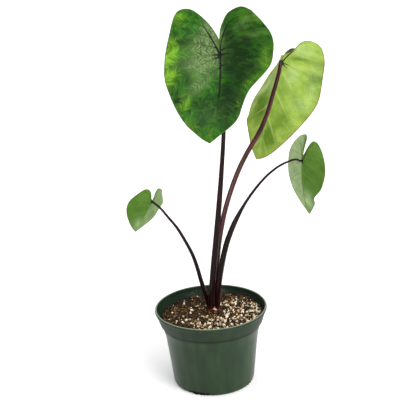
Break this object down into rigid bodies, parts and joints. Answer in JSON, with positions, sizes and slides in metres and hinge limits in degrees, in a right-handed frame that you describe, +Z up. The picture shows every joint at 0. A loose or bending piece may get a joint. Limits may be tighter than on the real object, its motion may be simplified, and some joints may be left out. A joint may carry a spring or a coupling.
{
  "type": "potted elephant ear plant",
  "caption": "Young elephant ear house plant in a round green nursery pot: heart-shaped leaves with waved margins and raised ribs on arching dark stalks.",
  "frame": {"origin": "middle of the pot's flat foot, on the surface that it stands on", "axes": "+Z up along the pot's axis; -Y towards the viewer, who sees the large front leaf's upper face; +X to the viewer's right"},
  "size_m": [0.2712, 0.1933, 0.5038],
  "materials": {
    "pot": "injection-moulded green polyethylene, slightly glossy",
    "soil": "damp peat and bark with white perlite grains",
    "corm": "pale pink fleshy skin, satin",
    "stalk_dark": "smooth burgundy-black plant skin with a waxy sheen",
    "stalk_red": "smooth dark red plant skin with a waxy sheen",
    "leaf_front": "green leaf with dark ribs and yellow-green blotches near the margin, satin",
    "leaf_right": "pale yellow-green leaf underside with purple ribs, satin",
    "leaf_small": "grey-green leaf underside, satin"
  },
  "bodies": {
    "root": {"pot": "pot", "soil": "soil", "corm": "corm", "stalk_front": "stalk_dark", "stalk_right": "stalk_red", "stalk_small_right": "stalk_dark", "stalk_small_left": "stalk_dark", "leaf_front": "leaf_front", "leaf_right": "leaf_right", "leaf_small_right": "leaf_small", "leaf_small_left": "leaf_small"}
  },
  "joints": []
}
